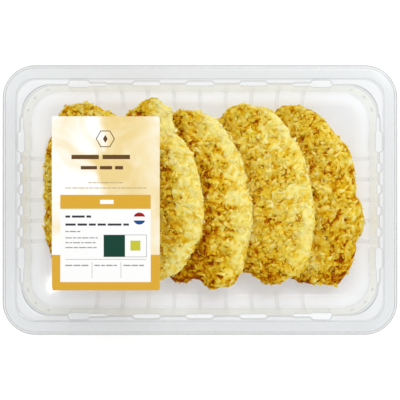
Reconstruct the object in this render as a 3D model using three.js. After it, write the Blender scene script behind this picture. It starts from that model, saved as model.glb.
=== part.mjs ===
// Sealed retail tray with five crumbed schnitzels: a thermoformed tray with ribbed walls,
// a flat lidding film, a label on the film, and the food lying shingled in the tray.
// Millimetres, +Z up. Origin: middle of the tray's underside. X runs along the tray, and
// the label is at its -X end.
import * as THREE from 'three';

// Tray: outer size over the flange, and one sheet thickness everywhere.
const tray = { length: 262, width: 179, height: 44, sheet: 0.7, cornerRadius: 22 };

// Section through the tray: how far each bend lies in from the outer edge, how far below
// the flange (drop) or above the table (level) it is, and its radius round the corners.
const lip = { lean: 0.6, drop: 3 };
const flange = { width: 9.3, radius: 12 };
const mouth = { drop: 0.7, radius: 20.5 };
const seat = { drop: 2.8, radius: 20 };
const foot = { inset: 17.6, level: 7, radius: 17.5 };
const floorEdge = { inset: 21.5, radius: 14 };

// The mouth steps in and out along each side. Each form gives the inset of the mouth and
// of the seat below it; `cells` runs from the middle of a side out to its corner.
const forms = {
  wide: { mouth: 10.7, seat: 14.2 },
  narrow: { mouth: 12.6, seat: 13.4 },
  half: { mouth: 11.6, seat: 13.6 },
  lug: { mouth: 9.7, seat: 14.8 },
  corner: { mouth: 13.2, seat: 14.2 },
};
const cornerReach = 36; // every side's straight stretch ends this far from the outer edge
const blend = 3; // run of the slope between two cells
const ribs = { width: 2.6, depth: 1.4 };
const shortSide = { ribPitch: 14.2, ribCount: 5, half: tray.length / 2 };
const longSide = { ribPitch: 17.7, ribCount: 9, half: tray.width / 2 };
longSide.cells = [
  { end: 0.5 * longSide.ribPitch, form: forms.wide },
  { end: 1.5 * longSide.ribPitch, form: forms.narrow },
  { end: 2.5 * longSide.ribPitch, form: forms.wide },
  { end: 3.5 * longSide.ribPitch, form: forms.narrow },
  { end: 74, form: forms.half },
  { end: 87, form: forms.lug },
  { end: tray.length / 2 - cornerReach, form: forms.corner },
];
shortSide.cells = [
  { end: 0.3 * shortSide.ribPitch, form: forms.narrow },
  { end: 0.7 * shortSide.ribPitch, form: forms.wide },
  { end: 1.3 * shortSide.ribPitch, form: forms.narrow },
  { end: 1.7 * shortSide.ribPitch, form: forms.wide },
  { end: 32, form: forms.narrow },
  { end: 45, form: forms.lug },
  { end: tray.width / 2 - cornerReach, form: forms.wide },
];
const cornerSteps = 8;

// Lidding film on the flange and label on the film, each with a small seating gap.
const gap = 0.3;
const film = { edgeInset: 2, thickness: 0.2 };
const label = { length: 71.4, width: 115.1, thickness: 0.2, radius: 1.5, x: -62.3, y: -2.2 };

// Food: a flat-based, domed slab with an uneven oval outline. `lobes` are the waves on the
// outline (count round the edge, height as a share of the radius, start angle) and `swells`
// its own bulges and dents (place round the edge and spread in degrees, height).
const slab = { outlineSteps: 40, rimShare: 0.42, rings: [0.96, 0.86, 0.6] };
const schnitzels = [
  {
    name: 'schnitzel_1', x: -72.5, y: 4.5, lift: 17.7, length: 124, width: 78, thickness: 12.5,
    turn: 6, tilt: 20.6, crown: 3.6, lobes: [[3, 0.03, 0.6], [5, 0.016, 2.0], [7, 0.012, 0.4]],
    swells: [[183, 26, 0.03], [216, 18, 0.12]],
  },
  {
    name: 'schnitzel_2', x: -37.5, y: 6.0, lift: 17.6, length: 127, width: 83, thickness: 12.5,
    turn: 9, tilt: 19.4, crown: 2.8, lobes: [[3, 0.035, 1.4], [4, 0.014, 0.3], [7, 0.01, 2.2]],
    swells: [[62, 14, 0.045], [103, 19, -0.19]],
  },
  {
    name: 'schnitzel_3', x: -2.5, y: 1.0, lift: 16.5, length: 123, width: 81, thickness: 12.5,
    turn: 7, tilt: 17.8, crown: 3.6, lobes: [[3, 0.025, 2.4], [4, 0.018, 1.1], [6, 0.01, 0.2]],
    swells: [[79, 25, -0.035], [-68, 20, 0.05]],
  },
  {
    name: 'schnitzel_4', x: 39.5, y: 4.5, lift: 17.2, length: 123, width: 82, thickness: 12.5,
    turn: 10, tilt: 19.4, crown: 3.6, lobes: [[3, 0.03, 0.2], [5, 0.014, 1.3], [6, 0.01, 2.9]],
    swells: [[-12, 22, -0.05], [-57, 20, 0.11]],
  },
  {
    name: 'schnitzel_5', x: 72.0, y: 3.0, lift: 10.9, length: 124, width: 80, thickness: 12.5,
    turn: 8, tilt: 9.0, crown: 3.6, lobes: [[3, 0.022, 1.9], [4, 0.016, 2.6], [7, 0.012, 1.0]],
    swells: [[4, 15, -0.1], [38, 22, -0.055], [-27, 9, 0.04], [-79, 18, 0.07]],
  },
];

// Bends of the section from the lip's lower edge in to the floor, for one form of the mouth.
function sectionOf(form, ribDepth) {
  const top = tray.height;
  return [
    { inset: 0, z: top - lip.drop, radius: tray.cornerRadius },
    { inset: lip.lean, z: top, radius: tray.cornerRadius - lip.lean },
    { inset: flange.width, z: top, radius: flange.radius },
    { inset: form.mouth, z: top - mouth.drop, radius: mouth.radius },
    { inset: form.seat, z: top - seat.drop, radius: seat.radius },
    { inset: foot.inset + ribDepth, z: foot.level, radius: foot.radius },
    { inset: floorEdge.inset, z: tray.sheet, radius: floorEdge.radius },
  ];
}

// The same bends one sheet thickness below, mitred so that the sheet stays even.
function undersideOf(section) {
  const downFrom = (a, b) => {
    const run = Math.hypot(b.inset - a.inset, b.z - a.z);
    return { inset: (b.z - a.z) / run, z: (a.inset - b.inset) / run };
  };
  const down = section.slice(1).map((bend, i) => downFrom(section[i], bend));
  down.unshift({ inset: 1, z: 0 }); // the lip ends in a level edge
  down.push({ inset: 0, z: -1 }); // the floor is level
  return section.map((bend, i) => {
    const [a, b] = [down[i], down[i + 1]];
    const share = tray.sheet / (1 + a.inset * b.inset + a.z * b.z);
    const inset = bend.inset + share * (a.inset + b.inset);
    return { inset, z: bend.z + share * (a.z + b.z), radius: bend.radius + bend.inset - inset };
  });
}

// Stations along one side, in order: both ends of every slope between cells, and the two
// flanks and the crest of every rib.
function stationsOf(side) {
  const cellAt = (s) => side.cells.find((cell) => Math.abs(s) <= cell.end);
  const stations = [];
  side.cells.forEach((cell, i) => {
    const next = side.cells[i + 1];
    for (const sign of [-1, 1]) {
      if (next) {
        stations.push({ s: sign * (cell.end - blend / 2), form: cell.form, ribDepth: 0 });
        stations.push({ s: sign * (cell.end + blend / 2), form: next.form, ribDepth: 0 });
      } else {
        stations.push({ s: sign * cell.end, form: cell.form, ribDepth: 0 });
      }
    }
  });
  for (let i = 0; i < side.ribCount; i += 1) {
    const s = (i - (side.ribCount - 1) / 2) * side.ribPitch;
    const form = cellAt(s).form;
    stations.push({ s: s - ribs.width / 2, form, ribDepth: 0 });
    stations.push({ s, form, ribDepth: ribs.depth });
    stations.push({ s: s + ribs.width / 2, form, ribDepth: 0 });
  }
  return stations.sort((a, b) => a.s - b.s);
}

// Columns of points round the tray, each running down one section: over the top face from
// the lip to the floor, and back under it.
function trayColumns() {
  const columns = [];
  const sides = [shortSide, longSide, shortSide, longSide];
  const bendsOf = (form, ribDepth) => {
    const over = sectionOf(form, ribDepth);
    return [...over.toReversed(), ...undersideOf(over)];
  };
  sides.forEach((side, quarter) => {
    const place = (out, along, z) => {
      const point = new THREE.Vector3(out, along, z);
      return point.applyAxisAngle(new THREE.Vector3(0, 0, 1), (quarter * Math.PI) / 2);
    };
    for (const { s, form, ribDepth } of stationsOf(side)) {
      const bends = bendsOf(form, ribDepth);
      columns.push(bends.map((bend) => place(side.half - bend.inset, s, bend.z)));
    }
    const nextHalf = sides[(quarter + 1) % 4].half;
    const bends = bendsOf(forms.corner, 0);
    for (let step = 0; step <= cornerSteps; step += 1) {
      const angle = (step / cornerSteps) * (Math.PI / 2);
      columns.push(bends.map(({ inset, z, radius }) => {
        const out = side.half - inset - radius + radius * Math.cos(angle);
        const along = nextHalf - inset - radius + radius * Math.sin(angle);
        return place(out, along, z);
      }));
    }
  });
  return columns;
}

// Closed skin over columns of points that go round an upright axis: each column starts
// and ends next to the axis, where a fan closes it onto a middle point.
function skinOver(columns, startMiddle, endMiddle) {
  const rows = columns[0].length;
  const points = [...columns.flat(), startMiddle, endMiddle];
  const [start, end] = [points.length - 2, points.length - 1];
  const faces = [];
  columns.forEach((_, i) => {
    const here = i * rows;
    const next = ((i + 1) % columns.length) * rows;
    faces.push(start, here, next);
    for (let row = 0; row < rows - 1; row += 1) {
      faces.push(here + row, here + row + 1, next + row + 1);
      faces.push(here + row, next + row + 1, next + row);
    }
    faces.push(end, next + rows - 1, here + rows - 1);
  });
  const geometry = new THREE.BufferGeometry().setFromPoints(points);
  geometry.setIndex(faces);
  geometry.computeVertexNormals();
  return geometry;
}

function trayGeometry() {
  const floorTop = new THREE.Vector3(0, 0, tray.sheet);
  const floorUnder = new THREE.Vector3(0, 0, 0);
  return skinOver(trayColumns(), floorTop, floorUnder);
}

// Flat plate with round corners, its lower face at z = 0.
function plateGeometry(length, width, radius, thickness) {
  const [x, y] = [length / 2 - radius, width / 2 - radius];
  const outline = new THREE.Shape();
  outline.absarc(x, y, radius, 0, Math.PI / 2);
  outline.absarc(-x, y, radius, Math.PI / 2, Math.PI);
  outline.absarc(-x, -y, radius, Math.PI, 1.5 * Math.PI);
  outline.absarc(x, -y, radius, 1.5 * Math.PI, 2 * Math.PI);
  outline.closePath();
  const settings = { depth: thickness, bevelEnabled: false, curveSegments: cornerSteps };
  return new THREE.ExtrudeGeometry(outline, settings);
}

// Height of a smooth swell, 1 at its place on the outline and about 0 two spreads away.
function swellAt(angle, place, spread) {
  const apart = THREE.MathUtils.radToDeg(angle) - place;
  const nearest = apart - 360 * Math.round(apart / 360);
  return Math.exp(-((nearest / spread) ** 2));
}

// One crumbed slab about its own middle: the outline shrinks over the dome to the crown,
// and under the rounded rim to the flat base.
function slabGeometry({ length, width, thickness, crown, lobes, swells }) {
  const rise = (share) => Math.sqrt(1 - share ** crown);
  const rim = (slab.rimShare - 0.5) * thickness;
  const over = slab.rings.map((share) => [share, rim + (thickness / 2 - rim) * rise(share)]);
  const under = slab.rings.map((share) => [share, rim - (thickness / 2 + rim) * rise(share)]);
  const rings = [...over.toReversed(), [1, rim], ...under];
  const columns = [];
  for (let step = 0; step < slab.outlineSteps; step += 1) {
    const angle = (step / slab.outlineSteps) * 2 * Math.PI;
    let wave = 1;
    for (const [count, height, start] of lobes) wave += height * Math.cos(count * angle + start);
    for (const [place, spread, height] of swells) wave += height * swellAt(angle, place, spread);
    const [x, y] = [(width / 2) * wave * Math.cos(angle), (length / 2) * wave * Math.sin(angle)];
    columns.push(rings.map(([share, z]) => new THREE.Vector3(x * share, y * share, z)));
  }
  const crownPoint = new THREE.Vector3(0, 0, thickness / 2);
  const basePoint = new THREE.Vector3(0, 0, -thickness / 2);
  return skinOver(columns, crownPoint, basePoint);
}

function piece(name, geometry, look) {
  const mesh = new THREE.Mesh(geometry, new THREE.MeshStandardMaterial({ metalness: 0, ...look }));
  mesh.name = name;
  return mesh;
}

const group = new THREE.Group();

const clearSheet = { roughness: 0.08, transparent: true, opacity: 0.35 };
group.add(piece('tray', trayGeometry(), { color: 0xe6eaea, ...clearSheet }));

const filmPiece = piece(
  'film',
  plateGeometry(
    tray.length - 2 * film.edgeInset,
    tray.width - 2 * film.edgeInset,
    tray.cornerRadius - film.edgeInset,
    film.thickness,
  ),
  { color: 0xf3f6f6, ...clearSheet },
);
filmPiece.position.z = tray.height + gap;
group.add(filmPiece);

const labelPiece = piece(
  'label',
  plateGeometry(label.length, label.width, label.radius, label.thickness),
  { color: 0xf7ecc4, roughness: 0.45 },
);
labelPiece.position.set(label.x, label.y, filmPiece.position.z + film.thickness + gap);
group.add(labelPiece);

for (const item of schnitzels) {
  const crumbed = piece(item.name, slabGeometry(item), { color: 0xd4aa40, roughness: 0.85 });
  crumbed.rotation.set(0, -THREE.MathUtils.degToRad(item.tilt), THREE.MathUtils.degToRad(item.turn));
  crumbed.position.set(item.x, item.y, item.lift);
  group.add(crumbed);
}

export default group;
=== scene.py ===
import math

import bpy
import numpy as np
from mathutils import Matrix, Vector, noise
from mathutils.bvhtree import BVHTree


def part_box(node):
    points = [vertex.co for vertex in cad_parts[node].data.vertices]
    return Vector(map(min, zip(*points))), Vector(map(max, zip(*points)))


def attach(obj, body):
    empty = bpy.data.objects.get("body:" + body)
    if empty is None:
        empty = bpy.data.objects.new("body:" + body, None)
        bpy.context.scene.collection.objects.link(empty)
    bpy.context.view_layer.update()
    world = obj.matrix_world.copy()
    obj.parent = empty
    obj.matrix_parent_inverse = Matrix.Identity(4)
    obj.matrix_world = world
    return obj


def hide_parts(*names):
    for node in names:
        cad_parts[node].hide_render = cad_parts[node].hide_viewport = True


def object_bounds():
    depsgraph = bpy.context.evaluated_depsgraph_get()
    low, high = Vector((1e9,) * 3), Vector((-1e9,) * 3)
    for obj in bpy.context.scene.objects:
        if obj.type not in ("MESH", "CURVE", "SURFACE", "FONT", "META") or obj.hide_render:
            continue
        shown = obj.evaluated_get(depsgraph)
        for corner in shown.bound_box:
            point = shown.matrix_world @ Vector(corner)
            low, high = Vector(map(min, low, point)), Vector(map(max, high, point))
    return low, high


# A sealed tray of crumbed schnitzels. Lengths are metres; the dictionaries give sizes in
# millimetres, which mm turns to metres.
mm = 0.001
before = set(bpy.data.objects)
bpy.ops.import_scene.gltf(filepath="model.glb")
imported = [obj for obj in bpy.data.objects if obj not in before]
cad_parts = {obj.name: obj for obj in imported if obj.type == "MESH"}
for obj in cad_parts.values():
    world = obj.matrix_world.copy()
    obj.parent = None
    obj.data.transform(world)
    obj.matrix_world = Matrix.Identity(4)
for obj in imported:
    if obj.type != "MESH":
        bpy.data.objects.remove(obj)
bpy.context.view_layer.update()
print("frame loaded:", sorted(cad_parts))


def linear(hexColour):  # sRGB hex to the linear colour that a shader socket takes
    channels = [int(hexColour[i:i + 2], 16) / 255 for i in (1, 3, 5)]
    return [c / 12.92 if c <= 0.04045 else ((c + 0.055) / 1.055) ** 2.4 for c in channels] + [1.0]


# One shader node: settings are its own properties, inputs are values or sockets to link
# from, and stops are a colour ramp's places and hex colours.
def addNode(tree, kind, inputs=None, stops=None, **settings):
    node = tree.nodes.new("ShaderNode" + kind)
    for key, value in settings.items():
        setattr(node, key, value)
    for key, value in (inputs or {}).items():
        if isinstance(value, bpy.types.NodeSocket):
            tree.links.new(value, node.inputs[key])
        else:
            node.inputs[key].default_value = value
    if stops:
        elements = node.color_ramp.elements
        while len(elements) < len(stops):
            elements.new(0.5)
        for element, (place, hexColour) in zip(elements, stops):
            element.position = place
            element.color = linear(hexColour)
    return node


def addObject(name, data):
    thing = bpy.data.objects.new(name, data)
    bpy.context.scene.collection.objects.link(thing)
    return thing


def newMaterial(name):
    material = bpy.data.materials.new(name)
    material.use_nodes = True
    material.node_tree.nodes.clear()
    return material, material.node_tree


# Fine relief from blobs of one size in mm. Gives the blobs' height and the relief.
def fineRelief(tree, size, depth, strength=1.0):
    place = addNode(tree, "TexCoord")
    blobs = addNode(tree, "TexNoise", {
        "Vector": place.outputs["Object"], "Scale": 1 / (size * mm), "Detail": 2.0,
    })
    relief = addNode(tree, "Bump", {
        "Height": blobs.outputs["Fac"], "Strength": strength, "Distance": depth * mm,
    })
    return blobs.outputs["Fac"], relief.outputs["Normal"]


def smoothStep(low, high, value):
    share = np.clip((value - low) / (high - low), 0.0, 1.0)
    return share * share * (3 - 2 * share)


def unit(vectors):
    return vectors / np.linalg.norm(vectors, axis=-1, keepdims=True)


def turned(x, y, angle):
    return x * np.cos(angle) - y * np.sin(angle), x * np.sin(angle) + y * np.cos(angle)


# A mesh piece from arrays of points (metres) and triangles, riding on the one body.
def addPiece(name, points, faces, material, nodes, smooth=True):
    mesh = bpy.data.meshes.new(name)
    mesh.vertices.add(len(points))
    mesh.vertices.foreach_set("co", np.asarray(points, np.float32).ravel())
    mesh.loops.add(faces.size)
    mesh.loops.foreach_set("vertex_index", faces.astype(np.int32).ravel())
    mesh.polygons.add(len(faces))
    mesh.polygons.foreach_set("loop_start", np.arange(0, faces.size, 3, dtype=np.int32))
    mesh.polygons.foreach_set("use_smooth", np.full(len(faces), smooth))
    mesh.materials.append(material)
    mesh.update(calc_edges=True)
    piece = addObject(name, mesh)
    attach(piece, "root")
    if nodes:
        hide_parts(*nodes)
    return piece


# Closed skin over columns of points round an upright axis, with a fan at each end.
def skinOver(columns, firstMiddle, lastMiddle):
    count, rows = columns.shape[:2]
    points = np.vstack([columns.reshape(-1, 3), firstMiddle, lastMiddle])
    first, last = len(points) - 2, len(points) - 1
    here = np.arange(count) * rows
    there = np.roll(here, -1)
    a = (here[:, None] + np.arange(rows - 1)).ravel()
    b = (there[:, None] + np.arange(rows - 1)).ravel()
    faces = np.vstack([
        np.column_stack([a, a + 1, b + 1]),
        np.column_stack([a, b + 1, b]),
        np.column_stack([np.full(count, first), here, there]),
        np.column_stack([np.full(count, last), there + rows - 1, here + rows - 1]),
    ])
    return points, faces


# Camera straight above, so that the tray spans nearly the whole picture.
camera = {
    "distance": 900,  # from the flange to the lens
    "viewWidth": 264.6,  # what the picture takes in at the flange
}


def addCamera():
    low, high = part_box("tray")
    data = bpy.data.cameras.new("camera")
    data.sensor_width = 36
    data.lens = data.sensor_width * camera["distance"] / camera["viewWidth"]
    data.clip_end = 20
    lens = addObject("camera", data)
    lens.location = ((low.x + high.x) / 2, (low.y + high.y) / 2, high.z + camera["distance"] * mm)
    bpy.context.scene.camera = lens


addCamera()
print("camera placed")


# The tray is one thermoformed sheet: lip, flange, stepped mouth, ribbed walls and floor.
tray = {
    "sheet": 0.45,
    "cornerRadius": 22,
    "cornerReach": 36,  # the sides' straight stretches end this far from the outer edge
    "lipLean": 0.75,
    "lipDrop": 3.0,
    "flangeWidth": 9.3,
    "flangeRadius": 12,
    "mouthRadius": 20.5,
    "mouthDepth": 3.2,
    "flangeShade": 0.115,  # painted shade: the sealed flange is greyed all over by this share of a fold's grey
    "footInset": 16.6,
    "footLevel": 11.0,
    "floorInset": 21.5,
    "blend": 2.4,  # run of the S-curve between two cells of the mouth
    "ribWidth": 3.0,
    "ribDepth": 1.0,
    "ribShade": 0.06,  # painted shade down the middle of a rib's sides, as a fold value
    "mostRounding": 0.45,  # share of a stretch that the rounding of its bend may take
    "wallRows": 9,
    "columnPitch": 2.4,  # the mesh's columns along plain stretches; ribs and blends get more
    "closestColumns": 0.12,
    "ribColumns": 11,
    "blendColumns": 7,
    "cornerColumns": 24,
    "pipAngles": (17, 46, 75),  # small pips low on each corner's wall, degrees round it
    "pipLevel": 31,
    "pipRadius": 2.0,
    "pipDepth": 1.3,
    # painted shade in a ring round each pip
    "pipShade": 0.3,
}
# Insets of the mouth and of the seat below it, for each form that a side's cells take.
mouthForms = {
    "wide": (10.5, 14.1),
    "narrow": (12.4, 13.2),
    "half": (11.6, 14.3),
    "lug": (9.6, 15.0),
    "corner": (13.1, 13.9),
}
# Cells from the middle of a side out to its corner: where each ends, in mm, and its form.
longSide = {
    "ribPitch": 17.7,
    "ribCount": 9,
    "cells": [(8.85, "wide"), (26.55, "narrow"), (44.25, "wide"), (61.95, "narrow"),
              (74, "half"), (87, "lug"), (200, "corner")],
}
shortSide = {
    "ribPitch": 14.2,
    "ribCount": 5,
    "cells": [(4.3, "narrow"), (9.9, "wide"), (18.5, "narrow"), (24.1, "wide"),
              (32, "narrow"), (45, "lug"), (200, "half")],
}


# Places of the mesh's columns along a side: even, and closer at ribs and blends.
def columnPlaces(side, straight):
    places = [np.linspace(-straight, straight, int(2 * straight / tray["columnPitch"]))]
    ribs = (np.arange(side["ribCount"]) - side["ribCount"] // 2) * side["ribPitch"]
    places += [rib + np.linspace(-0.55, 0.55, tray["ribColumns"]) * tray["ribWidth"] for rib in ribs]
    for end, _ in side["cells"][:-1]:
        near = np.linspace(-0.5, 0.5, tray["blendColumns"]) * tray["blend"]
        places += [end + near, -end + near]
    places = np.unique(np.round(np.concatenate(places), 2))
    inside = places[np.abs(places) < straight - 0.2]
    spaced = inside[np.concatenate([[True], np.diff(inside) > tray["closestColumns"]])]
    return np.concatenate([[-straight], spaced, [straight]])


# Inset of the mouth or the seat at places along a side, with S-curves between the cells.
def insetAlong(side, places, which):
    cells = side["cells"]
    inset = np.full(len(places), mouthForms[cells[0][1]][which], float)
    for (end, form), (_, nextForm) in zip(cells, cells[1:]):
        step = mouthForms[nextForm][which] - mouthForms[form][which]
        reach = tray["blend"] / 2
        inset += step * smoothStep(end - reach, end + reach, np.abs(places))
    return inset


def ribsAlong(side, places):  # how far the half-round ribs stand in from the wall
    near = np.round(places / side["ribPitch"])
    near = np.clip(near, -(side["ribCount"] // 2), side["ribCount"] // 2)
    away = np.abs(places - near * side["ribPitch"]) / (tray["ribWidth"] / 2)
    return tray["ribDepth"] * np.cos(np.minimum(away, 1) * math.pi / 2) ** 2


# The section's bends for every column: inset, level, corner radius, how far the rounding
# reaches and how much painted shade greys the sheet at the bend. Shape of each: columns, five.
def sectionBends(mouth, seat, rib, height):
    still = np.zeros_like(mouth)
    width, floor = tray["flangeWidth"], tray["floorInset"]
    bends = [
        (0.0, height - tray["lipDrop"], tray["cornerRadius"], 0.0, 0.45),  # lip
        (tray["lipLean"], height, tray["cornerRadius"] - tray["lipLean"], 0.5, 0.45),
        (width, height, tray["flangeRadius"], 0.4, 0.35),  # flange, then the groove inside it
        (width + 0.6, height - 0.55, tray["flangeRadius"] + 0.3, 0.3, 0.25),
        (mouth, height - 0.6, tray["mouthRadius"], 0.4, 0.55),  # mouth
        (mouth + 0.5, height - 2.3, tray["mouthRadius"], 0.4, 0.3),
        (seat, height - 2.8, tray["mouthRadius"], 0.5, 0.4),  # seat at the top of the wall
        (tray["footInset"] + rib, tray["footLevel"], tray["mouthRadius"] - 2, 7.0, 0.0),  # foot
        (floor + 0.3 * rib, tray["sheet"], tray["mouthRadius"] - 6.5, 7.0, 0.0),  # floor
        (floor + 6, tray["sheet"], tray["cornerReach"] - floor - 6, 0.0, 0.0),
    ]
    return [np.stack([still + value for value in bend], axis=1) for bend in bends]


# Turns the bends into rows of points with a fold value, which is painted shade: each bend
# becomes a short curve, and the wall gets rows of its own so that the ribs and pips can show on it.
def roundedRows(bends, ribEdgeShade):
    wallBend = 6  # the seat, where the wall starts
    def row(place, fold):
        return np.column_stack([place, np.broadcast_to(fold, len(place))])

    rows = [row(bends[0][:, :3], bends[0][:, 4])]
    for i in range(1, len(bends) - 1):
        before, here, after = (bends[j][:, :3] for j in (i - 1, i, i + 1))
        reach = bends[i][:, 3:4]
        ends = []
        for other in (before, after):
            run = np.linalg.norm((other - here)[:, :2], axis=1, keepdims=True)
            ends.append(here + (other - here) * np.minimum(reach / run, tray["mostRounding"]))
        start, end = ends
        onWall = i in (wallBend + 1, wallBend + 2)
        for t in (0.0, 0.33, 0.67, 1.0) if onWall else (0.0, 0.5, 1.0):
            place = (1 - t) ** 2 * start + 2 * t * (1 - t) * here + t * t * end
            fold = bends[i][:, 4] * 4 * t * (1 - t)
            rows.append(row(place, np.maximum(fold, ribEdgeShade) if onWall else fold))
        if i == wallBend:
            foot = after + (end - after) * 0.07  # the wall's rows stop just short of its foot
            for t in np.linspace(0, 1, tray["wallRows"] + 2)[1:-1]:
                rows.append(row(end + (foot - end) * t, ribEdgeShade))
    rows.append(row(bends[-1][:, :3], 0.0))
    rows = np.stack(rows, axis=1)
    # painted shade: the flange and the mouth are greyed all over
    flange = rows[:, :, 0] < tray["flangeWidth"] + 0.3
    mouth = rows[:, :, 1] > bends[1][0, 1] - tray["mouthDepth"]
    rows[:, :, 3] = np.maximum(rows[:, :, 3], tray["flangeShade"] * (0.5 * flange + 0.5 * mouth))
    return rows


# The same rows one sheet thickness below.
def undersideRows(rows):
    run = unit(np.gradient(rows[:, :, :2], axis=1))
    under = rows.copy()
    under[:, :, :2] += tray["sheet"] * np.stack([run[:, :, 1], -run[:, :, 0]], axis=2)
    return under


# Columns of the rows over the tray and back under it, in the first quarter's own frame:
# out from the middle, along the side, up, and the fold value, which is painted shade.
def placedRows(over, half, nextHalf, along=None, angle=None):
    centre = over[:, :, 0] + over[:, :, 2]  # inset of the middle that a corner turns round
    both = []
    for rows, middle in ((over[:, ::-1], centre[:, ::-1]), (undersideRows(over), centre)):
        inset, level, fold = rows[:, :, 0], rows[:, :, 1], rows[:, :, 3]
        if angle is None:
            out = half - inset
            side = np.broadcast_to(along[:, None], inset.shape)
        else:
            out = half - middle + (middle - inset) * np.cos(angle)[:, None]
            side = nextHalf - middle + (middle - inset) * np.sin(angle)[:, None]
        both.append(np.stack([out, side, level, fold], axis=2))
    return np.concatenate(both, axis=1)


def withPips(over, angle):  # small round pips that stand in from the corner's wall, ringed with painted shade
    for degrees in tray["pipAngles"]:
        acrossWall = (angle - math.radians(degrees))[:, None] * tray["mouthRadius"]
        upWall = over[:, :, 1] - tray["pipLevel"]
        away = np.minimum(np.hypot(acrossWall, upWall) / tray["pipRadius"], 1)
        over[:, :, 0] += tray["pipDepth"] * np.cos(away * math.pi / 2) ** 2
        over[:, :, 3] = np.maximum(over[:, :, 3], tray["pipShade"] * np.sin(away * math.pi) ** 2)
    return over


def traySheet():
    low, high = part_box("tray")
    halves = ((high.x - low.x) / 2 / mm, (high.y - low.y) / 2 / mm)
    height = high.z / mm
    steepest = tray["ribDepth"] / tray["ribWidth"] * 3.2  # slope of a rib's sides
    quarters = []
    for quarter in range(4):
        even = quarter % 2 == 0
        side = shortSide if even else longSide
        half, nextHalf = halves if even else halves[::-1]
        along = columnPlaces(side, nextHalf - tray["cornerReach"])
        rib = ribsAlong(side, along)
        # painted shade on a rib's sides, darker where they are steeper
        ribEdgeShade = tray["ribShade"] * np.abs(np.gradient(rib, along)) / steepest
        bends = sectionBends(insetAlong(side, along, 0), insetAlong(side, along, 1), rib, height)
        straight = placedRows(roundedRows(bends, ribEdgeShade), half, nextHalf, along=along)
        angle = np.linspace(0, math.pi / 2, tray["cornerColumns"])
        still = np.zeros(len(angle))
        mouth, seat = mouthForms["corner"]
        over = roundedRows(sectionBends(mouth + still, seat + still, still, height), still)
        corner = placedRows(withPips(over, angle), half, nextHalf, angle=angle)
        out, aside, level, fold = np.moveaxis(np.concatenate([straight, corner]), 2, 0)
        x, y = turned(out, aside, quarter * math.pi / 2)
        quarters.append(np.stack([x, y, level, fold], axis=2))
    columns = np.concatenate(quarters)
    points, faces = skinOver(columns[:, :, :3] * mm, (0, 0, tray["sheet"] * mm), (0, 0, 0))
    return points, faces, np.append(columns[:, :, 3].ravel(), (0, 0))


def writeAttribute(piece, name, values):
    attribute = piece.data.attributes.new(name, "FLOAT", "POINT")
    attribute.data.foreach_set("value", values.astype(np.float32).ravel())


# Clear formed plastic: what is behind shows through, each face mirrors a few percent
# head on and far more at a glance, and painted shade greys the sheet a little where it is folded.
# Lamps shine through it whole, so that what lies inside is lit.
def clearPlastic(name, mirrored, atGlance, roughness, tintStops, foldShadeTint, waviness, waveLength):
    material, tree = newMaterial(name)
    _, waves = fineRelief(tree, waveLength, waviness)
    facing = addNode(tree, "LayerWeight", {"Blend": 0.5, "Normal": waves})
    glance = addNode(tree, "Math", {0: facing.outputs["Facing"], 1: 5.0}, operation="POWER")
    mirror = addNode(tree, "Math", {
        0: glance.outputs[0], 1: atGlance - mirrored, 2: mirrored,
    }, operation="MULTIPLY_ADD")
    tint = addNode(tree, "ValToRGB", {"Fac": facing.outputs["Facing"]}, stops=tintStops)
    # painted shade: the fold attribute greys what shows through at folds and cut edges
    fold = addNode(tree, "Attribute", attribute_name="fold")
    shadedTint = addNode(tree, "Mix", {
        0: fold.outputs["Fac"], 6: tint.outputs["Color"], 7: linear(foldShadeTint),
    }, data_type="RGBA")
    clear = addNode(tree, "BsdfTransparent", {"Color": shadedTint.outputs[2]})
    gloss = addNode(tree, "BsdfPrincipled", {
        "Base Color": linear("#ffffff"), "Metallic": 1.0, "Roughness": roughness, "Normal": waves,
    })
    both = addNode(tree, "MixShader", {
        0: mirror.outputs[0], 1: clear.outputs[0], 2: gloss.outputs[0],
    })
    rays = addNode(tree, "LightPath")
    lit = addNode(tree, "MixShader", {
        0: rays.outputs["Is Shadow Ray"], 1: both.outputs[0], 2: clear.outputs[0],
    })
    addNode(tree, "OutputMaterial", {"Surface": lit.outputs[0]})
    return material


thermoformedPet = clearPlastic(  # PET: each face mirrors 2%, as its folds show
    "thermoformedPet", 0.02, 0.35, 0.1,
    [(0.0, "#fcfcfd"), (0.6, "#fafafb"), (0.85, "#f3f3ef"), (1.0, "#e2e3de")],
    foldShadeTint="#8b8f8d", waviness=0.03, waveLength=14,
)
trayPoints, trayFaces, trayFoldShade = traySheet()
trayPiece = addPiece("tray_sheet", trayPoints, trayFaces, thermoformedPet, ["tray"])
writeAttribute(trayPiece, "fold", trayFoldShade)
print("tray made:", len(trayFaces), "triangles")


# Lidding film: thin, tight and sealed to the flange.
film = {
    "edgeInset": 2.0,
    "cornerRadius": 20,
    "thickness": 0.06,
    "seat": 0.05,  # gap to the flange
    "columns": 220,
    "edgeRings": (0, 0.45, 3, 6, 9),  # insets of the mesh's rings over the seal
    "innerRings": (12, 84, 26),  # the rest of them: first, last and how many
    "ripple": 0.05,  # depth of the faint tension ripples inside the seal
    "rippleLength": 28,
    "rippleWidth": 44.8,
    "loose": (8, 20),  # the ripples grow between these distances from the tray's edge
    "cutEdgeShade": 0.8,  # painted shade along the cut edge, as a fold value
}


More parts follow.
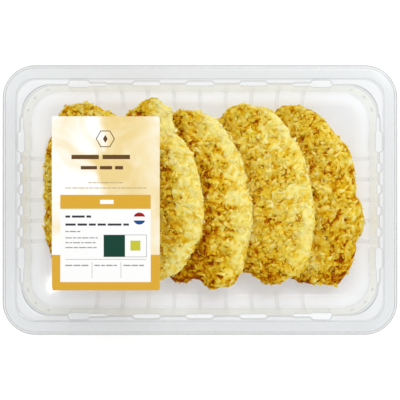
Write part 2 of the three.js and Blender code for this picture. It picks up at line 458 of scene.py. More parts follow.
# A plate with round corners as rings from its edge to near its middle.
def plateRings(halfX, halfY, radius, columns, insets):
    lead = 0.35  # share of a quarter's columns on the straight before its corner, and after
    share = np.arange(columns) / columns * 4
    quarter = np.floor(share).astype(int) % 4
    within = share - np.floor(share)
    rings = []
    for inset in insets:
        r = max(radius - inset, 0.6)  # the inner rings' corners stay a little round
        spanX, spanY = halfX - inset - r, halfY - inset - r
        sweep = np.clip((within - lead) / (1 - 2 * lead), 0, 1) * math.pi / 2
        before = np.minimum(within / lead, 1)
        after = np.maximum((within - 1 + lead) / lead, 0)
        even = quarter % 2 == 0
        near, far = np.where(even, spanX, spanY), np.where(even, spanY, spanX)
        out = near * (1 - after) + r * np.cos(sweep)
        side = far * before + r * np.sin(sweep)
        rings.append(np.stack(turned(out, side, quarter * math.pi / 2), axis=1))
    return np.stack(rings, axis=1)


def plateSkin(rings, bottom, thickness):  # closed plate over such rings; bottom in mm at each point
    under = np.dstack([rings, bottom])
    over = under + (0, 0, thickness)
    columns = np.concatenate([over[:, ::-1], under], axis=1)
    middles = [side[:, -1].mean(axis=0) * mm for side in (over, under)]
    return skinOver(columns * mm, *middles)


def rippleAt(x, y):  # height of the film's faint ripples, in mm
    place = Vector((x / film["rippleLength"], y / film["rippleWidth"], 3.7))
    return film["ripple"] * noise.noise(place)


def filmPlate():
    low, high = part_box("tray")
    halfX, halfY = high.x / mm - film["edgeInset"], high.y / mm - film["edgeInset"]
    insets = np.concatenate([film["edgeRings"], np.linspace(*film["innerRings"])])
    rings = plateRings(halfX, halfY, film["cornerRadius"], film["columns"], insets)
    loose = smoothStep(*film["loose"], insets + film["edgeInset"])
    ripple = np.array([[rippleAt(x, y) for x, y in column] for column in rings]) * loose
    bottom = high.z / mm + film["seat"] + ripple - ripple.min()
    points, faces = plateSkin(rings, bottom, film["thickness"])
    # painted shade along the film's cut edge
    edgeShade = np.zeros((film["columns"], 2 * len(insets)))
    edgeShade[:, len(insets) - 1:len(insets) + 1] = film["cutEdgeShade"]
    return points, faces, np.append(edgeShade.ravel(), (0, 0))


liddingFilm = clearPlastic(  # thin PET and PE laminate: each face mirrors 2%
    "liddingFilm", 0.02, 0.6, 0.05,
    [(0.0, "#feffff"), (0.8, "#fcfdfd"), (1.0, "#eef0f0")],
    foldShadeTint="#b4b8b6", waviness=0.02, waveLength=22,
)
filmPoints, filmFaces, filmFoldShade = filmPlate()
filmPiece = addPiece("film_sheet", filmPoints, filmFaces, liddingFilm, ["film"])
writeAttribute(filmPiece, "fold", filmFoldShade)
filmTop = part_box("tray")[1].z / mm + film["seat"] + film["thickness"] + 2 * film["ripple"]
print("film made")


# Schnitzels: the CAD slabs made uneven, then covered with flaky crumb.
crust = {
    "voxel": 0.6,
    "soften": 6,  # passes that round off the CAD slab's edges
    "swell": (18, 1.2),  # size and height of the broad swellings
    "lumps": (6.5, 1.3),
    "shardLayers": 3,  # each layer's shards point another way, and the highest one shows
    "shardSize": (7.6, 2.9),
    "shardTilt": 0.3,
    "shardStep": 0.95,  # how far one shard may lie above the next
    "shardGap": (0.9, 0.14),  # depth of the crevice round a shard, and its share of a cell
    "rimLacks": {"relief": 0.5, "chips": 0.6, "blotches": 0.7},  # shares that the pale rim lacks
    "underFrom": (-0.2, -0.8),  # the underside is what faces down as far as this
    "underFlatness": 0.6,  # share of all relief that the underside lacks
    "floorGap": 0.5,  # from the tray's sheet to the crust
    "neighbourReach": 4.0,
    "clearOfNeighbour": 0.6,
    "underShare": 0.4,  # crumb left on the underside
    "dentFade": (0.2, 1.2),  # shares of its reach over which a dent fades, and a patch
    "patchFade": (0.3, 1.3),
    "grain": (0.8, 0.24),  # size and tone of the grain in the chips
    "blotches": ((20, 0.14), (5.5, 0.17)),  # size in mm and tone of the uneven browning
    "rimWander": 9,  # how far the blotches push the pale rim's inner edge to and fro
    "rimFade": (4, 5),  # the pale rim fades over so many mm on either side of that edge
    "shadeFade": 4,
    "creviceShadeTone": 0.1,  # painted shade at the foot of the shards, and how much paler their tops are: painted light
    "topLightTone": 0.75,
    "shardTone": 0.35,  # spread of the shards' own tones
    "shadedNearEnd": (0.26, 13),  # painted shade: how much darker the end away from the lamp (-Y) is, and how far in, mm
    "nearWander": 6,
    "nearFrom": (-20, -40),  # mm along Y from the slab's middle
    "litFarEnd": 0.04,  # painted light: how much paler the end towards the key lamp is
    "farFrom": (10, 40),
}
# Loose-edged chips of flaked crumb and the fine crumb between them.
crumbKinds = {
    "chips": {"perSquareCm": 11, "corners": 7, "size": (2.2, 6.4), "bias": 1.4,
              "stretch": (0.3, 0.75), "lean": 0.22, "lift": 1.1},
    "fine": {"perSquareCm": 12, "corners": 4, "size": (0.8, 2.2), "bias": 1.2,
             "stretch": (0.35, 1.0), "lean": 0.35, "lift": 0.7},
}
crumbForm = {  # the least and the most of each
    "thickness": (0.3, 0.6), "radii": (0.55, 1.0), "curl": (-0.05, 0.14),
    "cornerWander": (-0.33, 0.33), "cornerLift": (-0.07, 0.07), "middleShift": (-0.12, 0.12),
    "rimBrowning": (0.0, 0.2),
}
crumbTone = (0.5, 0.2, 0.08)  # of the lowest crumb, how much paler the highest is by painted light, and spread
# Per slab: the browning of the whole; tone and width of the raised rim, paler by lighter
# browning and by painted light; painted shade, how much darker the slab is from so far inside that
# rim, under the neighbour's raised rim; and patches: X, Y, reach and tone of a part painted paler,
# or darker if below zero, partly for uneven frying and partly as painted light and shade.
# trims: place along Y and how far the crust's raised side stays inside the slab there.
# dents: X, Y, reach and depth of what is pressed in at the outline, or out if below zero.
schnitzels = {
    "schnitzel_1": {
        "seed": 11, "browning": 0.08, "paleAndLitRim": (0.2, 6), "shadeInside": (0.1, 20),
        "patches": [(-101, 12, 20, 0.2), (-101, -22, 16, 0.24)],
        "trims": [(0, 0.0)],
        "dents": [(-103, -6, 8, 3.6), (-102, -26, 8, -1.2), (-93, 58, 10, -2.4), (-60, 57, 6, -1.8)],
    },
    "schnitzel_2": {
        "seed": 23, "browning": -0.03, "paleAndLitRim": (0.3, 13), "shadeInside": (0.1, 15),
        "patches": [(-20, 57, 11, 0.2), (-39, 62, 9, -0.28), (-24, -33, 13, 0.22),
                    (-15, -48, 9, 0.25)],
        "trims": [(-50, -2.2), (-44, -1.2), (-37, 0.4), (-32, -1.2), (-26, -1.8), (-19, 0.5), (-5, 1.2),
                  (15, 0.3), (30, 0.0), (36, 1.4), (42, 3.0), (48, 3.0), (54, 0.6), (60, -2.0)],
        "dents": [(-17, 59, 8, -2.6), (-30, 68, 5, -1.4), (-42, 65, 8, 2.6)],
    },
    "schnitzel_3": {
        "seed": 37, "browning": 0.08, "paleAndLitRim": (0.42, 9), "shadeInside": (0.16, 24),
        "patches": [(10, 50, 14, 0.18), (23, -8, 5, -0.2), (14, -49, 11, -0.2), (-8, -50, 8, 0.18)],
        "trims": [(-50, -3.0), (-38, -1.0), (-25, 0.4), (-5, 2.0), (4, 2.6), (12, 3.2), (22, 0.2),
                  (33, -1.0), (40, 0.2), (48, 2.5)],
        "dents": [(-2.5, -58, 8, 4.0), (-16, -50, 9, -3.4), (-14.3, 60, 9, -1.4), (7.9, -61, 9, -1.4),
                  (19, -55, 8, -2.2)],
    },
    "schnitzel_4": {
        "seed": 41, "browning": -0.06, "paleAndLitRim": (0.28, 8), "shadeInside": (0.05, 28),
        "patches": [(28, 55, 15, -0.14), (50, 46, 12, 0.14), (47, -47, 14, -0.2), (36, 2, 4, -0.3)],
        "trims": [(-50, -2.4), (-38, -0.8), (-30, 0.0), (-5, 1.0), (15, 3.0), (24, 2.8), (33, 1.4),
                  (46, 2.5), (53, 0.0)],
        "dents": [(35.4, -55.6, 11, 3.2), (25.8, 64.5, 14, -1.0), (47, 60, 8, -2.4)],
    },
    "schnitzel_5": {
        "seed": 59, "browning": 0.04, "paleAndLitRim": (0.05, 6), "shadeInside": (0.04, 18),
        "patches": [(77, 49, 7, -0.1), (67, 42, 6, -0.1), (78, 3, 5, -0.25), (78, 11, 5, 0.25),
                    (74, -34, 16, 0.12), (76, -48, 11, 0.2)],
        "trims": [(-53, -1.3), (-46, -2.0), (-38, 0.0), (-28, 3.8), (-22, 1.8), (-5, 1.0), (4, 0.8),
                  (14, -2.8), (34, -2.8), (41, -0.4), (48, 1.4)],
        "dents": [(94, -54, 9, -2.0), (54, 62, 9, -2.3)],
    },
}


def meshArrays(mesh):
    points = np.empty(len(mesh.vertices) * 3)
    mesh.vertices.foreach_get("co", points)
    normals = np.empty(len(mesh.vertices) * 3)
    mesh.vertices.foreach_get("normal", normals)
    mesh.calc_loop_triangles()
    faces = np.empty(len(mesh.loop_triangles) * 3, np.int32)
    mesh.loop_triangles.foreach_get("vertices", faces)
    return points.reshape(-1, 3), normals.reshape(-1, 3), faces.reshape(-1, 3)


# Evenly remeshed copy of a CAD slab.
def evenSlab(node):
    source = addObject("slabSource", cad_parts[node].data.copy())
    remesh = source.modifiers.new("even", "REMESH")
    remesh.mode = "VOXEL"
    remesh.voxel_size = crust["voxel"] * mm
    soften = source.modifiers.new("soften", "SMOOTH")
    soften.iterations = crust["soften"]
    evaluated = source.evaluated_get(bpy.context.evaluated_depsgraph_get())
    mesh = bpy.data.meshes.new_from_object(evaluated)
    arrays = meshArrays(mesh)
    bpy.data.objects.remove(source)
    bpy.data.meshes.remove(mesh)
    return arrays


def greatestAt(places, values, count=22):  # the greatest values near even steps of the places
    steps = np.linspace(places.min(), places.max(), count)
    nearest = np.abs(places[:, None] - steps[None]).argmin(axis=1)
    return steps, np.array([values[nearest == i].max() for i in range(count)])


# The CAD slab's middle; its axes along and across, the latter towards +X; how far its raised
# rim reaches across at steps along; and how far it reaches towards -Y at places in X.
def slabAxes(node):
    points = meshArrays(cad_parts[node].data)[0]
    middle = (points.min(axis=0) + points.max(axis=0)) / 2
    offset = points - middle
    _, axes = np.linalg.eigh(np.cov(offset.T))
    along, across = axes[:, 2], axes[:, 1] * np.sign(axes[0, 1])
    return {
        "middle": middle, "along": along, "across": across,
        "rim": greatestAt(offset @ along, offset @ across),
        "end": greatestAt(points[:, 0], -points[:, 1]),
    }


def acrossShare(points, axes):  # from 0 in the slab's middle to 1 at its raised rim
    rim = np.interp((points - axes["middle"]) @ axes["along"], *axes["rim"])
    return (points - axes["middle"]) @ axes["across"] / rim, rim / mm


def noiseAt(points, size, seed):
    shift = Vector((seed * 1.7, seed * 0.9, seed * 2.3))
    return np.array([noise.noise(Vector(p) / (size * mm) + shift) for p in points])


# Shards bedded in the crust: in each layer every cell is a tilted plate, and the highest
# plate of all layers shows. Returns the height in mm and the shown plate's own tone.
def beddedShards(points, seed):
    length, width = crust["shardSize"]
    crevice, creviceWidth = crust["shardGap"]
    height = np.full(len(points), -9.0)  # below any plate
    tone = np.zeros(len(points))
    scramble = np.array([[12.9, 78.2, 37.7], [39.3, 11.1, 83.1], [73.1, 52.2, 9.2]])
    for layer in range(crust["shardLayers"]):
        turn = (layer + 0.4 * math.sin(seed + layer)) * math.pi / crust["shardLayers"]
        along, aside = turned(points[:, 0], points[:, 1], -turn)
        places = np.column_stack([along / length, aside / width, points[:, 2] / width]) / mm
        places += (seed * 1.3, layer * 7.9, seed * 0.7)
        cells = [noise.voronoi(Vector(place)) for place in places]
        gap = np.array([distances[1] - distances[0] for distances, _ in cells])
        middle = np.array([middles[0][:] for _, middles in cells])
        wild = np.sin(middle @ scramble) * 43758.5
        wild -= np.floor(wild)  # three even random numbers for each cell
        lean = (wild[:, :2] - 0.5) * 2 * crust["shardTilt"]
        offset = (places - middle)[:, :2] * (length, width)
        plate = (lean * offset).sum(axis=1) + crust["shardStep"] * (wild[:, 2] - 0.5)
        plate -= crevice * (1 - smoothStep(0.0, creviceWidth, gap))
        higher = plate > height
        height[higher] = plate[higher]
        tone[higher] = wild[higher, 0] - 0.5
    return height, tone


def shapedOutline(points, look, axes):
    middle, across = axes["middle"], axes["across"]
    share = np.clip(acrossShare(points, axes)[0], 0, 1)
    places, trims = np.array(look["trims"], float).T
    trim = np.interp(points[:, 1] / mm, places, trims) * mm
    points = points - across * (trim * share ** 2)[:, None]
    for x, y, reach, depth in look["dents"]:
        away = np.hypot(points[:, 0] / mm - x, points[:, 1] / mm - y) / reach
        inward = unit((middle - (x * mm, y * mm, 0)) * (1, 1, 0))
        points = points + inward * (depth * mm * (1 - smoothStep(*crust["dentFade"], away)))[:, None]
    return points


def raisedRimShare(width, inside):  # from 1 at the rim to 0 where it ends, so many mm inside it
    before, after = crust["rimFade"]
    return 1 - smoothStep(width - before, width + after, inside)


# Uneven crust of a slab: its points, its faces, and how high each point stands, from 0 in
# the crevices to 1 on the shards.
def crustShape(node, look, axes):
    points, normals, faces = evenSlab(node)
    seed = look["seed"]
    points = shapedOutline(points, look, axes)
    share, rimPlace = acrossShare(points, axes)
    rim = raisedRimShare(look["paleAndLitRim"][1], (1 - share) * rimPlace)
    relief = np.zeros(len(points))
    for size, height in (crust["swell"], crust["lumps"]):
        relief += height * (noiseAt(points, size, seed) - 0.25)
    shards, shardTone = beddedShards(points, seed)
    low, high = np.percentile(shards, (3, 97))
    standing = np.clip((shards - low) / (high - low), 0, 1)
    relief += (shards - np.median(shards)) * (1 - crust["rimLacks"]["relief"] * rim)
    under = smoothStep(*crust["underFrom"], normals[:, 2])
    relief *= 1 - crust["underFlatness"] * under
    points = points + normals * relief[:, None] * mm
    points[:, 2] = np.maximum(points[:, 2], (tray["sheet"] + crust["floorGap"]) * mm)
    return points, faces, standing + crust["shardTone"] * shardTone


# Thin crooked chips: an uneven rim and a middle on each face.
def chipShapes(kind, count, draw):
    corners = kind["corners"]
    angles = np.arange(corners) + draw.uniform(*crumbForm["cornerWander"], (count, corners))
    angles = angles * 2 * math.pi / corners
    radii = draw.uniform(*crumbForm["radii"], (count, corners))
    low, high = kind["size"]
    size = low + (high - low) * draw.random((count, 1)) ** kind["bias"]
    x = np.cos(angles) * radii * size / 2
    y = np.sin(angles) * radii * size / 2 * draw.uniform(*kind["stretch"], (count, 1))
    curl = draw.uniform(*crumbForm["curl"], (count, 1))
    z = draw.uniform(*crumbForm["cornerLift"], (count, corners)) * size - curl * (x * x + 0.5 * y * y)
    middles = np.zeros((count, 2, 3))
    thick = draw.uniform(*crumbForm["thickness"], count)
    middles[:, 0, 2], middles[:, 1, 2] = thick / 2, -thick / 2
    middles[:, :, :2] = (draw.uniform(*crumbForm["middleShift"], (count, 2)) * size)[:, None, :]
    return np.concatenate([np.stack([x, y, z], axis=2), middles], axis=1) * mm


def chipFaces(count, corners):
    rim = np.arange(corners)
    after = (rim + 1) % corners
    one = np.vstack([
        np.column_stack([rim, after, np.full(corners, corners)]),
        np.column_stack([after, rim, np.full(corners, corners + 1)]),
    ])
    return (one[None] + (np.arange(count) * (corners + 2))[:, None, None]).reshape(-1, 3)


# Spots spread evenly over the crust, with their normals: fewer underneath, and none
# where a neighbour lies against it.
def crumbSpots(points, faces, neighbours, perSquareCm, draw):
    a, b, c = points[faces[:, 0]], points[faces[:, 1]], points[faces[:, 2]]
    normal = np.cross(b - a, c - a)
    area = np.linalg.norm(normal, axis=1) / 2
    normal /= 2 * area[:, None] + 1e-12
    weight = area * np.where(normal[:, 2] < -0.4, crust["underShare"], 1.0)
    count = int(weight.sum() * 1e4 * perSquareCm)
    chosen = draw.choice(len(faces), count, p=weight / weight.sum())
    u, v = draw.random((2, count))
    fold = u + v > 1
    u[fold], v[fold] = 1 - u[fold], 1 - v[fold]
    spot = a[chosen] + (b - a)[chosen] * u[:, None] + (c - a)[chosen] * v[:, None]
    clear = np.ones(count, bool)
    for tree in neighbours:
        for i, place in enumerate(spot):
            found = tree.find_nearest(Vector(place), crust["neighbourReach"] * mm)
            if found[0] is not None:
                away = (Vector(place) - found[0]).dot(found[1])
                clear[i] &= away > crust["clearOfNeighbour"] * mm
    return spot[clear], normal[chosen][clear]


def crumbPoints(kind, spot, up, draw):  # the chips' corners in place, and each one's tone
    count = len(spot)
    lean = unit(up + draw.normal(0, kind["lean"], (count, 3)))
    sideways = unit(np.cross(lean, draw.normal(0, 1, (count, 3))))
    third = np.cross(lean, sideways)
    lift = draw.uniform(0.0, 1.0, count)
    shapes = chipShapes(kind, count, draw)
    middle = spot + up * (lift * kind["lift"] * mm)[:, None]
    placed = middle[:, None] + shapes @ np.stack([sideways, third, lean], axis=1)
    placed[:, :, 2] = np.maximum(placed[:, :, 2], (tray["sheet"] + 0.1) * mm)
    lowest, liftLight, spread = crumbTone
    # painted light: chips that stand higher are paler
    tone = lowest + liftLight * lift + draw.normal(0, spread, count)
    corners = np.repeat(tone[:, None], kind["corners"] + 2, axis=1)
    corners[:, :-2] -= draw.uniform(*crumbForm["rimBrowning"], (count, kind["corners"]))
    return placed, corners


# Crust of flaked, fried wheat and maize crumb: translucent golden chips with a dry,
# faintly oily surface, with painted light where they stand up and painted shade where they dip in.
def friedCrumb(name, stops, roughness):
    grainSize, grainTone = crust["grain"]
    material, tree = newMaterial(name)
    grain, relief = fineRelief(tree, grainSize, 0.2, 0.8)
    tone = addNode(tree, "Attribute", attribute_name="tone")
    mixed = addNode(tree, "Math", {
        0: grain, 1: grainTone, 2: tone.outputs["Fac"],
    }, operation="MULTIPLY_ADD")
    even = addNode(tree, "Math", {0: mixed.outputs[0], 1: grainTone / 2}, operation="SUBTRACT")
    colour = addNode(tree, "ValToRGB", {"Fac": even.outputs[0]}, stops=stops)
    surface = addNode(tree, "BsdfPrincipled", {
        "Base Color": colour.outputs["Color"], "Roughness": roughness, "IOR": 1.45,
        "Specular IOR Level": 0.03, "Subsurface Weight": 0.35,
        "Subsurface Radius": (0.8, 0.6, 0.15), "Subsurface Scale": 1.5 * mm, "Normal": relief,
    })
    addNode(tree, "OutputMaterial", {"Surface": surface.outputs[0]})
    return material


looseCrumb = friedCrumb("looseCrumb", [
    (0.0, "#c47c00"), (0.3, "#e8b914"), (0.55, "#f5d546"), (0.8, "#fae47c"), (1.0, "#fcec9c"),
], 0.6)
beddedCrumb = friedCrumb("beddedCrumb", [
    (0.0, "#8e3600"), (0.18, "#c47400"), (0.42, "#eabf1c"), (0.7, "#f8df6c"), (1.0, "#fcec9c"),
], 0.7)


# Tone at places on a slab: blotchy browning; paler along the raised rim, by lighter browning
# and painted light; painted shade inside it and at the end towards -Y; painted light at the
# other end. Gives the change of tone, and how much each place is raised rim.
def browningAndShadeAt(places, look, axes):
    (broadSize, broad), (smallSize, small) = crust["blotches"]
    seed = look["seed"]
    blotches = broad * noiseAt(places, broadSize, seed + 5)
    blotches += small * noiseAt(places, smallSize, seed + 9)
    share, rimPlace = acrossShare(places, axes)
    inside = (1 - share) * rimPlace - crust["rimWander"] * blotches  # mm from the rim, unevenly
    (paleAndLitRim, paleWidth), (shadeInside, shadeFrom) = look["paleAndLitRim"], look["shadeInside"]
    rim = raisedRimShare(paleWidth, inside)
    inner = smoothStep(shadeFrom - crust["shadeFade"], shadeFrom + crust["shadeFade"], inside)
    tone = blotches * (1 - crust["rimLacks"]["blotches"] * rim)
    # painted light with lighter browning on the raised rim, painted shade inside it under the
    # neighbour's rim
    tone += paleAndLitRim * rim - shadeInside * inner - look["browning"]

    height = (places[:, 1] - axes["middle"][1]) / mm
    inward = (places[:, 1] + np.interp(places[:, 0], *axes["end"])) / mm
    nearShade, nearReach = crust["shadedNearEnd"]
    near = 1 - smoothStep(0, nearReach, inward - crust["nearWander"] * blotches)
    # painted light at the end towards +Y, which faces the key lamp
    tone += crust["litFarEnd"] * smoothStep(*crust["farFrom"], height)
    # painted shade at the end towards -Y, which faces away from the key lamp
    tone -= nearShade * near * smoothStep(*crust["nearFrom"], height)
    # patches: partly uneven frying, partly painted light and shade
    for x, y, reach, change in look["patches"]:
        away = np.hypot(places[:, 0] / mm - x, places[:, 1] / mm - y) / reach
        tone += change * (1 - smoothStep(*crust["patchFade"], away - blotches))
    return tone, rim


def addCrumb(name, kindName, look, axes, points, faces, neighbours):
    kind = crumbKinds[kindName]
    draw = np.random.default_rng([look["seed"], kind["corners"]])
    spot, up = crumbSpots(points, faces, neighbours, kind["perSquareCm"], draw)
    browning, rim = browningAndShadeAt(spot, look, axes)
    kept = draw.random(len(spot)) > crust["rimLacks"]["chips"] * rim
    spot, up, browning = spot[kept], up[kept], browning[kept]
    placed, tone = crumbPoints(kind, spot, up, draw)
    faces = chipFaces(len(spot), kind["corners"])
    piece = addPiece(name + "_" + kindName, placed.reshape(-1, 3), faces, looseCrumb,
                     [], smooth=False)
    writeAttribute(piece, "tone", np.clip(tone + browning[:, None], 0, 1))
    print(name, kindName + ":", len(spot))


def addSchnitzels():
    axes = {name: slabAxes(name) for name in schnitzels}
    shapes = {name: crustShape(name, look, axes[name]) for name, look in schnitzels.items()}
    trees = {name: BVHTree.FromPolygons(points.tolist(), faces.tolist())
             for name, (points, faces, _) in shapes.items()}
    names = list(schnitzels)
    for i, (name, look) in enumerate(schnitzels.items()):
        points, faces, standing = shapes[name]
        neighbours = [trees[other] for other in names[max(i - 1, 0):i] + names[i + 1:i + 2]]
        core = addPiece(name + "_crust", points, faces, beddedCrumb, [name])
        # painted shade in the crevices and painted light on the shard tops, added to the browning
        tone = crust["creviceShadeTone"] + crust["topLightTone"] * standing + browningAndShadeAt(points, look, axes[name])[0]
        writeAttribute(core, "tone", np.clip(tone, 0, 1))
        for kindName in crumbKinds:
            addCrumb(name, kindName, look, axes[name], points, faces, neighbours)


addSchnitzels()


# Label: coated paper on the film, printed in plain fields and bars.
label = {
    "thickness": 0.1,
    "cornerRadius": 1.5,
    "columns": 120,
    "rings": (0, 30, 8),  # insets of the mesh's rings: first, last and how many
    "seat": 0.05,
    "washPatch": 26,
    "washPlace": (-0.3, 0.7),  # slides the cream wash to the left or right
    "washWander": 0.6,  # how far the wash's edges wander from straight lines
    "washDepth": 1.2,
    "inkThickness": 0.02,
    "bottomBand": (0.05, 109.6, 71.35, 115.05),  # left, top, right and bottom, as below
    "wordLength": (1.2, 4.2),  # these four are shares of a text row's height
    "shortestWord": 0.8,
    "wordGap": 0.5,
    "wordHalfHeight": 0.28,
    "emblem": (35.4, 14.9),  # middle of a plain six-sided ring round a lozenge
    "emblemRing": (5.7, 6.3),
    "lozenge": (1.6, 2.6),
    "disc": (57.9, 67.6),
    "discRadius": 4.0,
    "discParts": {"redInk": (19, 161), "blueInk": (199, 341)},  # degrees round it
}
# Fields of the print: ink, left, top, right and bottom in mm from the label's top left.
printFields = {
    "goldInk": [(5.6, 51.9, 65.4, 61.2), (0.05, 91.6, 5.6, 109.6), (65.4, 91.6, 71.35, 109.6)],
    "whiteInk": [(5.6, 61.2, 65.4, 109.6), (31.9, 55.2, 40.9, 58.0)],
    "greenInk": [(34.3, 78.5, 48.4, 92.8)],
    "limeInk": [(52.0, 82.2, 58.6, 88.8)],
    "greyInk": [(34.1, 78.3, 62.8, 78.6), (34.1, 92.8, 62.8, 93.1), (62.5, 78.6, 62.8, 92.8),
                (8.9, 94.5, 62.5, 94.75), (26.5, 96.6, 26.75, 107.0), (45.6, 96.6, 45.85, 107.0)],
}
# Rows of plain bars that stand for words: left, right, middle and height of each row.
textRows = {
    "brownInk": [(13.0, 58.0, 26.9, 5.0), (19.2, 52.2, 34.0, 3.9)],
    "tanInk": [(24.2, 47.3, 43.9, 1.0), (8.7, 62.6, 47.4, 1.0)],
    "darkInk": [(9.0, 27.6, 66.3, 2.5), (9.0, 51.0, 71.6, 2.5)],
    "greyInk": [(9.0, 18.8, 76.2, 1.3), (9.0, 30.4, 80.4, 1.2), (9.0, 29.0, 83.6, 1.2),
                (9.0, 30.6, 86.8, 1.2), (8.9, 25.2, 98.6, 1.4), (28.2, 44.0, 98.6, 1.4),
                (47.4, 62.4, 98.6, 1.4)],
}
inkColours = {
    "goldInk": "#d9a733", "whiteInk": "#f6f6f5", "greenInk": "#0c3f31", "limeInk": "#c4c236",
    "greyInk": "#8f8f8d", "brownInk": "#634420", "tanInk": "#c0ab80", "darkInk": "#3a3a3f",
    "redInk": "#a0161a", "blueInk": "#1a4a88",
}


# Satin coated paper: white stock, soft satin gloss; the top carries a cream wash.
def coatedPaper(low, high):
    material, tree = newMaterial("coatedPaper")
    place = addNode(tree, "TexCoord")
    parts = addNode(tree, "SeparateXYZ", {"Vector": place.outputs["Object"]})
    acrossLabel = addNode(tree, "MapRange", {
        "Value": parts.outputs["X"], "From Min": low.x, "From Max": high.x,
        "To Min": label["washPlace"][0], "To Max": label["washPlace"][1],
    })
    cloud = addNode(tree, "TexNoise", {  # brush-like patches
        "Vector": place.outputs["Object"], "Scale": 1 / (label["washPatch"] * mm),
        "Detail": 3.0, "Distortion": 0.6,
    })
    wavy = addNode(tree, "Math", {
        0: cloud.outputs["Fac"], 1: label["washWander"], 2: acrossLabel.outputs["Result"],
    }, operation="MULTIPLY_ADD")
    band = addNode(tree, "ValToRGB", {"Fac": wavy.outputs[0]}, stops=[
        (0.0, "#000000"), (0.36, "#272727"), (0.47, "#aaaaaa"),  # thickest right of the middle
        (0.64, "#afafaf"), (0.78, "#9c9c9c"), (0.95, "#656565"),
    ])
    wash = addNode(tree, "Math", {
        0: cloud.outputs["Fac"], 1: label["washDepth"], 2: band.outputs["Color"],
    }, operation="MULTIPLY_ADD")
    colour = addNode(tree, "ValToRGB", {"Fac": wash.outputs[0]}, stops=[
        (0.45, "#fcfbf8"), (0.63, "#f6eed8"), (0.81, "#efddac"), (1.0, "#e8ce8a"),
    ])
    _, fibre = fineRelief(tree, 0.3, 0.01, 0.3)  # paper fibre of 0.3 mm
    surface = addNode(tree, "BsdfPrincipled", {
        "Base Color": colour.outputs["Color"], "Roughness": 0.5, "IOR": 1.5, "Normal": fibre,
    })
    addNode(tree, "OutputMaterial", {"Surface": surface.outputs[0]})
    return material


# Offset ink: a flat film of colour with a faint mottle of 1.5 mm.
def offsetInk(name, hexColour):
    material, tree = newMaterial(name)
    place = addNode(tree, "TexCoord")
    mottle = addNode(tree, "TexNoise", {
        "Vector": place.outputs["Object"], "Scale": 1 / (1.5 * mm), "Detail": 2.0,
    })
    colour = addNode(tree, "Mix", {
        0: 0.03, 6: linear(hexColour), 7: mottle.outputs["Color"],
    }, data_type="RGBA", blend_type="OVERLAY")
    surface = addNode(tree, "BsdfPrincipled", {
        "Base Color": colour.outputs[2], "Roughness": 0.35, "IOR": 1.5, "Specular IOR Level": 0.3,
    })
    addNode(tree, "OutputMaterial", {"Surface": surface.outputs[0]})
    return material


# A closed flat plate over an outline that goes counter-clockwise, in mm.
def plateOver(outline, bottom, thickness):
    corners = len(outline)
    rim = np.arange(corners)
    after = (rim + 1) % corners
    lower = np.column_stack([outline, np.full(corners, bottom)])
    upper = lower + (0, 0, thickness)
    fan = np.arange(1, corners - 1)
    first = np.zeros(corners - 2, int)
    faces = np.vstack([
        np.column_stack([first + corners, fan + corners, fan + 1 + corners]),
        np.column_stack([first, fan + 1, fan]),
        np.column_stack([rim, after, after + corners]),
        np.column_stack([rim, after + corners, rim + corners]),
    ])
    return np.vstack([lower, upper]), faces


# The print's outlines, in mm from the label's top left corner, with Y up.
def rectangle(left, top, right, bottom):
    return np.array([(left, -bottom), (right, -bottom), (right, -top), (left, -top)])


def roundedBottom(left, top, right, bottom, radius):  # a strip with two round corners
    turn = np.linspace(0, math.pi / 2, 6)
    across, up = radius * (1 - np.cos(turn)), radius * (1 - np.sin(turn)) - bottom
    leftCorner = np.column_stack([left + across, up])
    rightCorner = np.column_stack([right - across, up])[::-1]
    return np.vstack([[(right, -top), (left, -top)], leftCorner, rightCorner])


def wordBars(left, right, middle, height, draw):
    bars, at = [], left
    half = label["wordHalfHeight"] * height
    while at < right - label["shortestWord"] * height:
        width = min(draw.uniform(*label["wordLength"]) * height, right - at)
        bars.append(rectangle(at, middle - half, at + width, middle + half))
        at += width + label["wordGap"] * height
    return bars


def printedShapes(draw):  # the outlines by their ink
    outlines = {ink: [] for ink in inkColours}
    outlines["goldInk"].append(roundedBottom(*label["bottomBand"], label["cornerRadius"]))
    for ink, fields in printFields.items():
        outlines[ink] += [rectangle(*field) for field in fields]
    for ink, rows in textRows.items():
        for row in rows:
            outlines[ink] += wordBars(*row, draw)
    x, y = label["emblem"]
    inner, outer = label["emblemRing"]
    corners = [np.array([math.cos(turn), math.sin(turn)]) for turn in np.arange(7) * math.pi / 3]
    for one, two in zip(corners, corners[1:]):
        side = np.array([one * inner, one * outer, two * outer, two * inner])
        outlines["brownInk"].append(side + (x, -y))
    across, up = label["lozenge"]
    outlines["brownInk"].append(np.array([(across, 0), (0, up), (-across, 0), (0, -up)]) + (x, -y))
    x, y = label["disc"]
    for ink, (start, end) in label["discParts"].items():
        turn = np.radians(np.linspace(start, end, 16))
        arc = np.column_stack([np.cos(turn), np.sin(turn)]) * label["discRadius"]
        outlines[ink].append(arc + (x, -y))
    return outlines


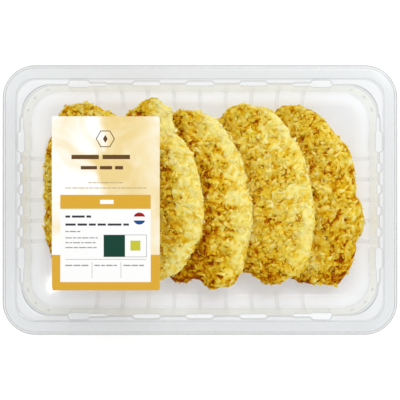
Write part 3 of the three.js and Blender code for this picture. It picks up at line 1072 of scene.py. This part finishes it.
def addLabel():
    low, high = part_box("label")
    middle = (low + high) / 2 / mm
    rings = plateRings((high.x - low.x) / 2 / mm, (high.y - low.y) / 2 / mm, label["cornerRadius"],
                       label["columns"], np.linspace(*label["rings"]))
    rings = rings + (middle.x, middle.y)
    bottom = filmTop + label["seat"]
    points, faces = plateSkin(rings, np.full(rings.shape[:2], bottom), label["thickness"])
    addPiece("label_paper", points, faces, coatedPaper(low, high), ["label"], smooth=False)

    origin = (low.x / mm, high.y / mm)
    layers = {"goldInk": 0, "whiteInk": 1}  # printed first; the other inks lie over both
    for ink, shapes in printedShapes(np.random.default_rng(5)).items():
        level = bottom + label["thickness"] + layers.get(ink, 2) * label["inkThickness"]
        points, faces, total = [], [], 0
        for shape in shapes:
            own, ownFaces = plateOver(shape + origin, level, label["inkThickness"])
            points.append(own)
            faces.append(ownFaces + total)
            total += len(own)
        addPiece("label_" + ink, np.vstack(points) * mm, np.vstack(faces),
                 offsetInk(ink, inkColours[ink]), [], smooth=False)


addLabel()
print("label made")


# White floor, bright even surround, large soft light from behind, and small lamps that the
# film and the folds mirror.
stage = {
    "floorSize": 6.0,
    "floorDrop": 0.2,  # mm below the tray, so that the two don't share a plane
    "floorColour": "#e8e8e8",
    "floorGlow": 0.3,  # a light table, so that the shadows stay pale
    "floorTooth": 2.5,
    "softEdge": (1.0, 0.75, 0.5),  # mirrored lamps lie one inside another, so their edge fades
    "worldStrength": 1.03,
}
lamps = {  # place and size in metres, and power
    "keyLight": ((0.28, 0.9, 1.4), 1.1, 7.5),
    "glintLight": ((0.6, 0.62, 1.2), 0.1, 1.6),
    "cornerLight": ((0.33, 0.235, 1.35), 0.11, 0.16),  # mirrored in the film at one corner
    "patchLight": ((-0.239, -0.136, 1.35), 0.021, 0.045),  # mirrored beside the label
}


def addLight(name, place, size, power):
    data = bpy.data.lights.new(name, "AREA")
    data.shape = "DISK"
    data.size = size
    data.energy = power
    lamp = addObject(name, data)
    lamp.location = place
    lamp.rotation_mode = "QUATERNION"
    lamp.rotation_quaternion = (-Vector(place)).to_track_quat("-Z", "Y")


def addStage():
    half = stage["floorSize"] / 2
    corners = [(-half, -half, 0), (half, -half, 0), (half, half, 0), (-half, half, 0)]
    mesh = bpy.data.meshes.new("floor")
    mesh.from_pydata(corners, [], [(0, 1, 2, 3)])
    floor = addObject("floor", mesh)
    floor.location.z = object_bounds()[0].z - stage["floorDrop"] * mm
    material, tree = newMaterial("whiteBoard")
    _, tooth = fineRelief(tree, stage["floorTooth"], 0.05, 0.1)
    surface = addNode(tree, "BsdfPrincipled", {
        "Base Color": linear(stage["floorColour"]), "Roughness": 0.9, "Specular IOR Level": 0.1,
        "Normal": tooth, "Emission Color": linear("#ffffff"), "Emission Strength": stage["floorGlow"],
    })
    addNode(tree, "OutputMaterial", {"Surface": surface.outputs[0]})
    mesh.materials.append(material)

    addLight("keyLight", *lamps["keyLight"])
    addLight("glintLight", *lamps["glintLight"])
    for share in stage["softEdge"]:
        for name in ("cornerLight", "patchLight"):
            place, size, power = lamps[name]
            addLight(name, place, size * share, power / len(stage["softEdge"]))
    world = bpy.data.worlds.new("studio")
    world.use_nodes = True
    tree = world.node_tree
    tree.nodes.clear()
    sky = addNode(tree, "TexCoord")
    parts = addNode(tree, "SeparateXYZ", {"Vector": sky.outputs["Generated"]})
    shade = addNode(tree, "ValToRGB", {"Fac": parts.outputs["Z"]}, stops=[
        (0.0, "#f4f5f7"), (0.6, "#ffffff"), (0.92, "#dcdcdc"), (0.975, "#1a1a1a"),
    ])
    light = addNode(tree, "Background", {
        "Color": shade.outputs["Color"], "Strength": stage["worldStrength"],
    })
    addNode(tree, "OutputWorld", {"Surface": light.outputs[0]})
    bpy.context.scene.world = world
    bpy.context.scene.view_settings.view_transform = "Standard"
    bpy.context.scene.cycles.transparent_max_bounces = 32  # one ray may pass many clear faces


addStage()
print("stage made")
